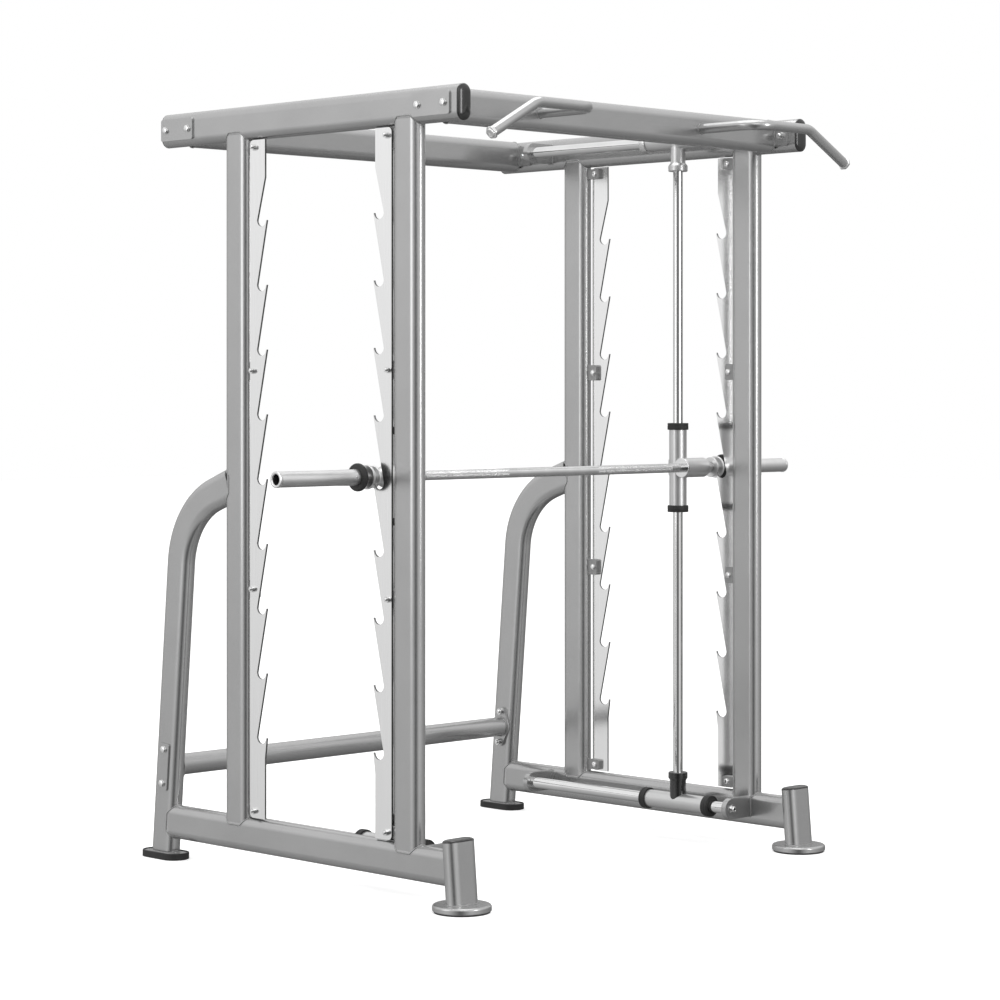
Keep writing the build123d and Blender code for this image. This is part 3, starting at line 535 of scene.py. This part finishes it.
def finish_mesh(bm, name, finish, body, sharp=35.0):
    bmesh.ops.recalc_face_normals(bm, faces=bm.faces)
    mesh = bpy.data.meshes.new(name)
    bm.to_mesh(mesh)
    bm.free()
    mesh.shade_smooth()
    mesh.set_sharp_from_angle(angle=radians(sharp))
    mesh.materials.append(FINISHES[finish])
    piece = bpy.data.objects.new(name, mesh)
    bpy.context.scene.collection.objects.link(piece)
    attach(piece, body)
    return piece


def axis_frame(origin, axis):
    """Matrix that takes +Z to the axis, at the origin, both in metres."""
    turn = Vector(axis).to_track_quat("Z", "Y").to_matrix().to_4x4()
    return Matrix.Translation(Vector(origin)) @ turn


def add_ring(bm, place, along, radius, segments, flats=0, corner=1.0):
    """One ring of a turned profile. With flats, it is a polygon whose corners are cut at a radius."""
    ring = []
    for step in range(segments):
        angle = 2 * pi * step / segments
        reach = radius
        if flats:
            half = pi / flats
            reach = min(radius / cos((angle % (2 * half)) - half), radius * corner)
        ring.append(bm.verts.new(place @ Vector((reach * cos(angle), reach * sin(angle), along))))
    return ring


def add_turned(bm, profile, origin, axis, segments=72):
    """Adds a closed turned solid. A profile point is (along, radius) in mm, then any flats and corner."""
    place = axis_frame(origin, axis)
    rings = [
        add_ring(bm, place, along * MM, radius * MM, segments, *rest) for along, radius, *rest in profile
    ]
    for near, far in zip(rings, rings[1:] + rings[:1]):
        for step in range(segments):
            after = (step + 1) % segments
            bm.faces.new((near[step], near[after], far[after], far[step]))


def paint_bore_shade(piece, is_inside):
    """Gives the near-black finish that paints the shade inside a bore or socket to the faces whose middle
    passes a test.
    """
    piece.data.materials.append(FINISHES["painted_bore_shade"])
    for face in piece.data.polygons:
        face.material_index = int(is_inside(face.center))


def middle_of(node):
    low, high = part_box(node)
    return (low + high) / 2


# ---------------------------------------------------------------- sizes read from the frame

TUBE_T = 0.050
TUBE_H = 0.100
ROUND = TUBE_T / 2
SIDE_X = middle_of("right_base_tube").x
BASE_Z = middle_of("right_base_tube").z
TOP_Z = middle_of("right_top_tube").z
UPRIGHT_Y = {end: middle_of(f"right_{end}_upright").y for end in ENDS}
CROSS_Y = {end: middle_of(f"{end}_crossmember").y for end in ENDS}
FLANGE_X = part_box("front_crossmember")[1].x
LOWER_CROSS = middle_of("lower_crossmember")
LOWER_CROSS_R = (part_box("lower_crossmember")[1].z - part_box("lower_crossmember")[0].z) / 2
BAR = middle_of("bar_shaft")
ROD = middle_of("right_guide_rod")
RAIL_X = ROD.x
RAIL_Z = {level: middle_of(f"right_{level}_slider").z for level in ("lower", "upper")}
FOOT_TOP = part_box("front_feet")[1].z
PLATE_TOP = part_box("rear_feet")[1].z
POST_Y = (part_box("front_feet")[0].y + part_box("front_feet")[1].y) / 2
POST_LEAN = radians(5.0)
LEG_FOOT_Y = middle_of("rear_feet").y
LEG_SLOPE = 0.08422
LEG_HEAD = Vector((0.0, 0.3765, 1.1160))
LEG_RISE = radians(20.0)
HANDLE_X = 0.342
HANDLE_R = 0.015
BRACKET_R = 0.0315
BRACKET_T = 0.018
BRACKET_SPANS = [
    (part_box("slide_rails")[0].y - BRACKET_T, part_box("slide_rails")[0].y),
    (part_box("slide_rails")[1].y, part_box("slide_rails")[1].y + BRACKET_T),
]
TAB_SPAN = (0.7095, 0.7215)
END_TAB = {"half_height": 0.016, "bolt": 0.028}
MID_TAB = {"half_height": 0.025, "bolt": 0.022}
TABS = {0.1840: END_TAB, 0.8245: MID_TAB, 1.4550: MID_TAB, 2.1000: END_TAB}


# ---------------------------------------------------------------- weld beads

TUBE_BEAD = 2.0 * MM
FLANGE_BEAD = 1.9 * MM
TAB_BEAD = 1.7 * MM
BEAD_PITCH = 5.0 * MM
BEAD_RIPPLE = 0.14


def oval_points(count=96):
    """Evenly spaced points round a tube's section: (along its long way, across it), in metres."""
    straight = TUBE_H - TUBE_T
    total = 2 * straight + 2 * pi * ROUND
    points = []
    for step in range(count):
        s = total * step / count
        if s < straight:
            points.append((s - straight / 2, ROUND))
            continue
        s -= straight
        if s < pi * ROUND:
            points.append((straight / 2 + ROUND * sin(s / ROUND), ROUND * cos(s / ROUND)))
            continue
        s -= pi * ROUND
        if s < straight:
            points.append((straight / 2 - s, -ROUND))
            continue
        s -= straight
        points.append((-straight / 2 - ROUND * sin(s / ROUND), -ROUND * cos(s / ROUND)))
    return points


def nose_rise(across):
    """How far a tube's round edge stands from its section's middle, at a distance across it."""
    return TUBE_H / 2 - ROUND + sqrt(max(ROUND**2 - across**2, 0.0))


def bead_size(radius, travelled):
    """The bead's radius after some distance along it: regular ripples with a finer unevenness."""
    ripple = BEAD_RIPPLE * sin(2 * pi * travelled / BEAD_PITCH)
    return radius * (1.0 + ripple + 0.06 * sin(37.0 * travelled / radius))


def add_bead(bm, loop, radius, sides=8):
    """A rippled bead round a closed loop of points, as a weld leaves."""
    loop = fine(loop)
    centre = sum(loop, Vector()) / len(loop)
    angles = [2 * pi * side / sides for side in range(sides)]
    rings, travelled = [], 0.0
    for step, point in enumerate(loop):
        tangent = (loop[(step + 1) % len(loop)] - loop[step - 1]).normalized()
        outward = point - centre
        outward = (outward - tangent * outward.dot(tangent)).normalized()
        binormal = tangent.cross(outward)
        size = bead_size(radius, travelled)
        travelled += (loop[(step + 1) % len(loop)] - point).length
        spots = [point + size * (outward * cos(a) + binormal * sin(a)) for a in angles]
        rings.append([bm.verts.new(spot) for spot in spots])
    for near, far in zip(rings, rings[1:] + rings[:1]):
        for side in range(sides):
            after = (side + 1) % sides
            bm.faces.new((near[side], near[after], far[after], far[side]))


def fine(loop, step=1.6 * MM):
    """The same closed loop with extra points, so that ripples show."""
    points = []
    for here, there in zip(loop, loop[1:] + loop[:1]):
        parts = max(1, round((there - here).length / step))
        points += [here.lerp(there, part / parts) for part in range(parts)]
    return points


def upright_loops(side):
    """Where each upright is coped to the base tube below it and the top tube above it."""
    loops = []
    for y in UPRIGHT_Y.values():
        for z, way in ((BASE_Z, 1), (TOP_Z, -1)):
            oval = [(side * SIDE_X + v, y + u, z + way * nose_rise(v)) for u, v in oval_points()]
            loops.append([Vector(point) for point in oval])
    return loops


def post_loops(side):
    """Round the post's foot, and round the base tube where it meets the back of the post."""
    foot = [Vector((side * SIDE_X + u, POST_Y + v, FOOT_TOP)) for u, v in oval_points()]
    back = []
    for u, v in oval_points():
        height = BASE_Z + u - FOOT_TOP
        y = POST_Y + height * sin(POST_LEAN) / cos(POST_LEAN) + ROUND / cos(POST_LEAN)
        back.append(Vector((side * SIDE_X + v, y, BASE_Z + u)))
    return [foot, back]


def leg_loops(side):
    """Round the rear leg's foot, the base tube's rear end, and the leg's head on the rear upright."""
    x = side * SIDE_X
    foot_y = LEG_FOOT_Y - LEG_SLOPE * PLATE_TOP
    foot = [Vector((x + v, foot_y + u, PLATE_TOP)) for u, v in oval_points()]
    stretch = sqrt(1 + LEG_SLOPE**2)
    base = []
    for u, v in oval_points():
        z = BASE_Z + u
        base.append(Vector((x + v, LEG_FOOT_Y - LEG_SLOPE * z - nose_rise(v) * stretch, z)))
    head = []
    for u, v in oval_points():
        y = UPRIGHT_Y["rear"] + nose_rise(v)
        start = LEG_HEAD + Vector((0.0, sin(LEG_RISE) * u, cos(LEG_RISE) * u))
        reach = (start.y - y) / cos(LEG_RISE)
        head.append(Vector((x + v, y, start.z + reach * sin(LEG_RISE))))
    return [foot, base, head]


def circle_loop(centre, across, upward, radius, count=48):
    angles = [2 * pi * step / count for step in range(count)]
    return [Vector(centre) + radius * (Vector(across) * cos(a) + Vector(upward) * sin(a)) for a in angles]


def crossmember_loops(side):
    """Round each crossmember's end on its flange, and round the handle on the front crossmember."""
    loops = []
    for y in CROSS_Y.values():
        loops.append([Vector((side * FLANGE_X, y + v, TOP_Z + u)) for u, v in oval_points()])
    lower = (side * FLANGE_X, LOWER_CROSS.y, LOWER_CROSS.z)
    loops.append(circle_loop(lower, (0, 1, 0), (0, 0, 1), LOWER_CROSS_R))
    handle = (side * HANDLE_X, CROSS_Y["front"] - ROUND, TOP_Z)
    loops.append(circle_loop(handle, (1, 0, 0), (0, 0, 1), HANDLE_R))
    return loops


def tube_face(z, middle_z):
    """Distance of a lying tube's inner face from the middle plane, at a height on its rounded side."""
    over = max(abs(z - middle_z) - (TUBE_H / 2 - ROUND), 0.0)
    return SIDE_X - sqrt(ROUND**2 - over**2)


def bracket_loops(side):
    """Round each rail bracket, where it is coped to the side frame's tube."""
    loops = []
    for level, tube_z in (("lower", BASE_Z), ("upper", TOP_Z)):
        for near, far in BRACKET_SPANS:
            low, high = RAIL_Z[level] - BRACKET_R, RAIL_Z[level] + BRACKET_R
            heights = [low + (high - low) * step / 12 for step in range(13)]
            corners = [(near, z) for z in heights] + [(far, z) for z in reversed(heights)]
            loops.append([Vector((side * tube_face(z, tube_z), y, z)) for y, z in corners])
    return loops


def tab_loops(side):
    """Round each catch plate's tabs, where they are coped to the upright's round edge."""
    loops = []
    for end, way in ENDS.items():
        face_y = UPRIGHT_Y[end] - way * (TUBE_H / 2 - ROUND)
        for z, tab in TABS.items():
            top, foot = z + tab["half_height"], z - tab["half_height"]
            corners = [(x, top) for x in TAB_SPAN] + [(x, foot) for x in reversed(TAB_SPAN)]
            loop = [(x, face_y - way * sqrt(ROUND**2 - (x - SIDE_X) ** 2), height) for x, height in corners]
            loops.append([Vector((side * x, y, height)) for x, y, height in loop])
    return loops


def frame_welds():
    bm = bmesh.new()
    for side in SIDES.values():
        for loop in upright_loops(side) + post_loops(side) + leg_loops(side):
            add_bead(bm, loop, TUBE_BEAD)
        for loop in crossmember_loops(side) + bracket_loops(side):
            add_bead(bm, loop, FLANGE_BEAD)
        for loop in tab_loops(side):
            add_bead(bm, loop, TAB_BEAD)
    welds = finish_mesh(bm, "frame_welds", "weld_paint", "frame", sharp=80.0)


def socket_welds():
    """Round each upper socket, where it is coped to the slider."""
    socket_r, slider_r = 0.023, 0.027
    for name, side in SIDES.items():
        loop = []
        for point in circle_loop((side * RAIL_X, ROD.y, 0.0), (1, 0, 0), (0, 1, 0), socket_r):
            drop = sqrt(slider_r**2 - (point.x - side * RAIL_X) ** 2)
            loop.append(Vector((point.x, point.y, RAIL_Z["upper"] - drop)))
        bm = bmesh.new()
        add_bead(bm, loop, TUBE_BEAD)
        weld = finish_mesh(bm, f"{name}_socket_weld", "shell_paint", f"{name}_trolley", sharp=80.0)


# ---------------------------------------------------------------- collars, sleeves and handle caps

# Bore radii in mm, and each slider level's finish with the material slot that it belongs to.
SLIDER_COLLAR_BORE = 18.0
CARRIAGE_COLLAR_BORE = 15.5
SLIDER_COLLARS = {"lower": ("black_rubber", "black_rubber"), "upper": ("satin_chrome", "chrome")}


def collar_profile(bore):
    """End cup: wiper lip round the bore, recessed face, grooved rim, and open at the back for the shell."""
    outer, shell_r, wall, depth = 32.5, 27.05, 9.0, 21.0
    return [
        (0.9, bore),
        (0.2, bore + 0.5),
        (0.0, bore + 1.4),
        (0.3, bore + 2.6),
        (1.6, bore + 3.2),
        (1.6, outer - 4.2),
        (0.3, outer - 3.2),
        (0.0, outer - 2.4),
        (0.3, outer - 0.8),
        (1.2, outer - 0.1),
        (2.2, outer),
        (5.4, outer),
        (5.9, outer - 0.9),
        (7.1, outer - 0.9),
        (7.6, outer),
        (19.2, outer),
        (20.4, outer - 0.4),
        (depth, outer - 1.4),
        (depth, shell_r),
        (wall, shell_r),
        (wall, bore),
    ]


def collar_set(name, node, body, places, bore, finish, slot):
    bm = bmesh.new()
    for origin, axis in places:
        add_turned(bm, collar_profile(bore), origin, axis)
    piece = finish_mesh(bm, name, finish, body)
    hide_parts(node)


def make_collars():
    """Rubber cups on the lower sliders and the carriages, and plated ones on the upper sliders."""
    for name, side in SIDES.items():
        node = f"{name}_slider_collars"
        low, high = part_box(node)
        for level, look in SLIDER_COLLARS.items():
            ends = ((low.y, 1), (high.y, -1))
            places = [((side * RAIL_X, y, RAIL_Z[level]), (0, way, 0)) for y, way in ends]
            label = f"{name}_{level}_collars"
            collar_set(label, node, f"{name}_trolley", places, SLIDER_COLLAR_BORE, *look)
        node = f"{name}_carriage_collars"
        low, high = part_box(node)
        ends = ((low.z, 1), (high.z, -1))
        places = [((side * RAIL_X, ROD.y, z), (0, 0, way)) for z, way in ends]
        rubber = ("black_rubber", "black_rubber")
        collar_set(f"{node}_moulded", node, f"{name}_carriage", places, CARRIAGE_COLLAR_BORE, *rubber)


SLEEVE_BORE_R = 14.05 * MM
GRUB_SCREW_AT = 16.0 * MM  # from the sleeve's root
GRUB_SCREW_SEAT = 22.2 * MM  # from the bar's axis


def sleeve_profile(length):
    """Plate sleeve from its wide root to the turned rim and countersunk mouth, and back along its bore."""
    body_r, root_r, bore = 21.6, 23.5, SLEEVE_BORE_R / MM
    return [
        (0.0, root_r - 0.4),
        (0.5, root_r),
        (6.0, root_r),
        (12.0, root_r - 0.6),
        (70.0, body_r),
        (length - 9.6, body_r),
        (length - 9.0, body_r - 0.6),
        (length - 7.4, body_r - 0.6),
        (length - 6.8, body_r + 0.5),
        (length - 6.0, body_r + 0.9),
        (length - 1.6, body_r + 0.9),
        (length - 0.4, body_r + 0.4),
        (length, body_r - 0.6),
        (length, bore + 2.6),
        (length - 0.5, bore + 1.6),
        (length - 3.0, bore),
        (0.0, bore),
    ]


GRUB_SCREW = (
    (0.0, 1.9),
    (0.0, 2.9),
    (0.5, 3.3),
    (0.9, 3.0),
    (1.0, 2.2),
    (1.0, 1.5, 6, 1.12),
    (0.3, 1.5, 6, 1.12),
)


def make_sleeves():
    """Plate sleeves with painted shade in their bores, each pinned to the shaft by a grub screw at its
    front and rear.
    """
    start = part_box("bar_rings")[1].x
    length = (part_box("bar_sleeves")[1].x - start) / MM
    bm = bmesh.new()
    screws = bmesh.new()
    for side in SIDES.values():
        add_turned(bm, sleeve_profile(length), (side * start, BAR.y, BAR.z), (side, 0, 0), segments=96)
        for way in ENDS.values():
            out = Vector((0.0, way, 0.0))
            root = Vector((side * (start + GRUB_SCREW_AT), BAR.y, BAR.z)) + out * GRUB_SCREW_SEAT
            add_turned(screws, GRUB_SCREW, root, out, segments=24)
    piece = finish_mesh(bm, "bar_sleeves_turned", "satin_chrome", "bar")
    # painted shade: the bore's faces get the near-black finish
    paint_bore_shade(piece, lambda at: hypot(at.y - BAR.y, at.z - BAR.z) < SLEEVE_BORE_R + 0.4 * MM)
    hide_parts("bar_sleeves")
    finish_mesh(screws, "sleeve_grub_screws", "zinc_fastener", "bar")


HANDLE_TIP = (0.745, -0.7445, 2.080)
HANDLE_FALL = atan2(-0.092, 0.169)
HANDLE_CAP = (
    (0.0, 12.4),
    (0.0, 15.0),
    (0.5, 16.3, 6, 1.105),
    (1.4, 16.6, 6, 1.105),
    (6.0, 16.6, 6, 1.105),
    (7.2, 16.0, 6, 1.105),
    (7.8, 14.6),
    (8.0, 13.0),
    (10.6, 12.4),
    (11.6, 11.6),
    (12.0, 10.2),
    (12.0, 8.6),
    (11.4, 8.0),
    (11.4, 3.6),
    (11.0, 3.0),
    (9.4, 2.4),
    (9.2, 0.1),
    (0.0, 0.1),
)


def make_handle_caps():
    """Chrome plug on each handle: six soft flats, a stepped boss and a centre mark."""
    x, y, z = HANDLE_TIP
    bm = bmesh.new()
    for side in SIDES.values():
        axis = (side * cos(HANDLE_FALL), 0.0, sin(HANDLE_FALL))
        add_turned(bm, HANDLE_CAP, (side * x, y, z), axis)
    piece = finish_mesh(bm, "handle_caps_turned", "chrome", "frame")
    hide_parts("handle_caps")


# ---------------------------------------------------------------- fasteners

BOLT_REACH = 0.051
CROSSMEMBER_BOLT = (6.0, 19.0, 78.8)  # shank radius, width across flats and grip, in mm
CATCH_BOLT = (5.0, 17.0, 32.0)
THREAD_PITCH = 1.4


def bolt_profile(radius, across, grip):
    """Hex bolt in mm: low crown, head, washer face, shank, thread and chamfered end."""
    head, flat = 1.3 * radius, across / 2
    profile = [
        (head, 0.1),
        (head, 0.30 * flat),
        (0.97 * head, 0.58 * flat),
        (0.89 * head, 0.82 * flat),
        (0.78 * head, 0.97 * flat),
        (0.72 * head, flat, 6, 1.07),
        (0.20 * head, flat, 6, 1.13),
        (0.17 * head, 1.13 * flat),
        (0.03 * head, 1.13 * flat),
        (0.0, 1.10 * flat),
        (0.0, radius),
    ]
    at = -grip + 2.2 * radius
    while at > -grip + 2.0:
        profile += [(at, radius), (at - 0.5 * THREAD_PITCH, radius - 0.55 * THREAD_PITCH)]
        at -= THREAD_PITCH
    return profile + [(-grip + 1.2, radius - 0.4), (-grip, radius - 1.4), (-grip, 0.1)]


def bolt_set(node, profile, places):
    bm = bmesh.new()
    for origin, axis in places:
        add_turned(bm, profile, origin, axis, segments=36)
    piece = finish_mesh(bm, f"{node}_turned", "zinc_fastener", "frame")
    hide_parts(node)


def make_bolts():
    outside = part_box("backing_plates")[1].x
    up_the_leg = Vector((0.0, -LEG_SLOPE, 1.0)).normalized()
    crossmember_places, catch_places = [], []
    for side in SIDES.values():
        for reach in (-BOLT_REACH, BOLT_REACH):
            spots = [Vector((side * outside, y + reach, TOP_Z)) for y in CROSS_Y.values()]
            spots.append(Vector((side * outside, LOWER_CROSS.y, LOWER_CROSS.z)) + up_the_leg * reach)
            crossmember_places += [(spot, (side, 0, 0)) for spot in spots]
        for end, way in ENDS.items():
            for z, tab in TABS.items():
                y = UPRIGHT_Y[end] - way * (TUBE_H / 2 + tab["bolt"])
                catch_places.append(((side * TAB_SPAN[0], y, z), (-side, 0, 0)))
    bolt_set("crossmember_bolts", bolt_profile(*CROSSMEMBER_BOLT), crossmember_places)
    bolt_set("catch_bolts", bolt_profile(*CATCH_BOLT), catch_places)


RAIL_SCREW = (
    (-58.0, 0.1),
    (-58.0, 5.0),
    (-57.0, 5.95),
    (0.0, 5.95),
    (0.0, 12.6),
    (0.4, 13.0),
    (1.6, 13.0),
    (2.0, 12.6),
    (2.0, 8.7),
    (2.4, 9.0),
    (7.0, 9.0),
    (8.6, 8.5),
    (9.6, 7.4),
    (10.0, 6.0),
    (10.0, 5.1),
    (9.7, 4.7),
    (9.4, 4.0, 6, 1.15),
    (3.6, 4.0, 6, 1.15),
    (3.6, 0.1),
)
SOCKET_R = 4.75 * MM
SOCKET_FLOOR = 3.0 * MM  # from the bracket's face, just under the floor of the socket


def make_rail_screws():
    """Socket screws with rounded heads, on washers, in the ends of the rails."""
    bm = bmesh.new()
    ends = ((BRACKET_SPANS[0][0], -1), (BRACKET_SPANS[1][1], 1))
    for side in SIDES.values():
        for z in RAIL_Z.values():
            for y, way in ends:
                add_turned(bm, RAIL_SCREW, (side * RAIL_X, y, z), (0, way, 0), segments=48)
    piece = finish_mesh(bm, "rail_screws_turned", "zinc_fastener", "frame")

    def in_socket(at):
        height = min(RAIL_Z.values(), key=lambda z: abs(z - at.z))
        outside = at.y < ends[0][0] - SOCKET_FLOOR or at.y > ends[1][0] + SOCKET_FLOOR
        return outside and hypot(abs(at.x) - RAIL_X, at.z - height) < SOCKET_R

    # painted shade: the faces down inside each screw's socket get the near-black finish
    paint_bore_shade(piece, in_socket)
    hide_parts("rail_screws")


# ---------------------------------------------------------------- end caps

CAP_SHADOW = 0.5 * MM
CAP_RIM = 1.6 * MM
CAP_CROWN = 8.0 * MM
CAP_STEPS = 15
POST_LENGTH = 0.166


def capsule(radius, steps=24):
    """Outline of the tube's oval, or a smaller one inside it, as (along its long way, across it)."""
    half = (TUBE_H - TUBE_T) / 2
    angles = [pi * step / steps for step in range(steps + 1)]
    return [(way * (half + radius * sin(a)), way * radius * cos(a)) for way in (1, -1) for a in angles]


def add_crowned_cap(bm, origin, along, outward):
    """Adds a plug head that bulges over the whole end of a tube, above a shadow line at its rim."""
    along, outward = Vector(along), Vector(outward)
    across = outward.cross(along)
    inset = ROUND - CAP_SHADOW
    levels = [(inset, 0.0), (inset, CAP_SHADOW), (ROUND, CAP_SHADOW + 0.4 * MM), (ROUND, CAP_RIM)]
    for step in range(1, CAP_STEPS):
        turn = pi / 2 * step / CAP_STEPS
        levels.append((ROUND * cos(turn), CAP_RIM + CAP_CROWN * sin(turn)))
    rings = []
    for radius, height in levels:
        middle = Vector(origin) + outward * height
        rings.append([bm.verts.new(middle + along * u + across * v) for u, v in capsule(radius)])
    for near, far in zip(rings, rings[1:]):
        for here in range(len(near)):
            after = (here + 1) % len(near)
            bm.faces.new((near[here], near[after], far[after], far[here]))
    bm.faces.new(rings[0])
    bm.faces.new(rings[-1])


def make_end_caps():
    low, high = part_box("right_top_tube")
    lean = Vector((0.0, sin(POST_LEAN), cos(POST_LEAN)))
    bm = bmesh.new()
    for side in SIDES.values():
        x = side * SIDE_X
        add_crowned_cap(bm, (x, low.y, TOP_Z), (0, 0, 1), (0, -1, 0))
        add_crowned_cap(bm, (x, high.y, TOP_Z), (0, 0, 1), (0, 1, 0))
        add_crowned_cap(bm, Vector((x, POST_Y, FOOT_TOP)) + lean * POST_LENGTH, (1, 0, 0), lean)
    piece = finish_mesh(bm, "end_caps_moulded", "black_plastic", "frame")
    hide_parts("end_caps")


make_camera()
make_lights()
make_world()
make_floor()
dress_cad_nodes()
frame_welds()
socket_welds()
make_collars()
make_sleeves()
make_handle_caps()
make_bolts()
make_rail_screws()
make_end_caps()

bpy.context.scene.view_settings.view_transform = "Standard"
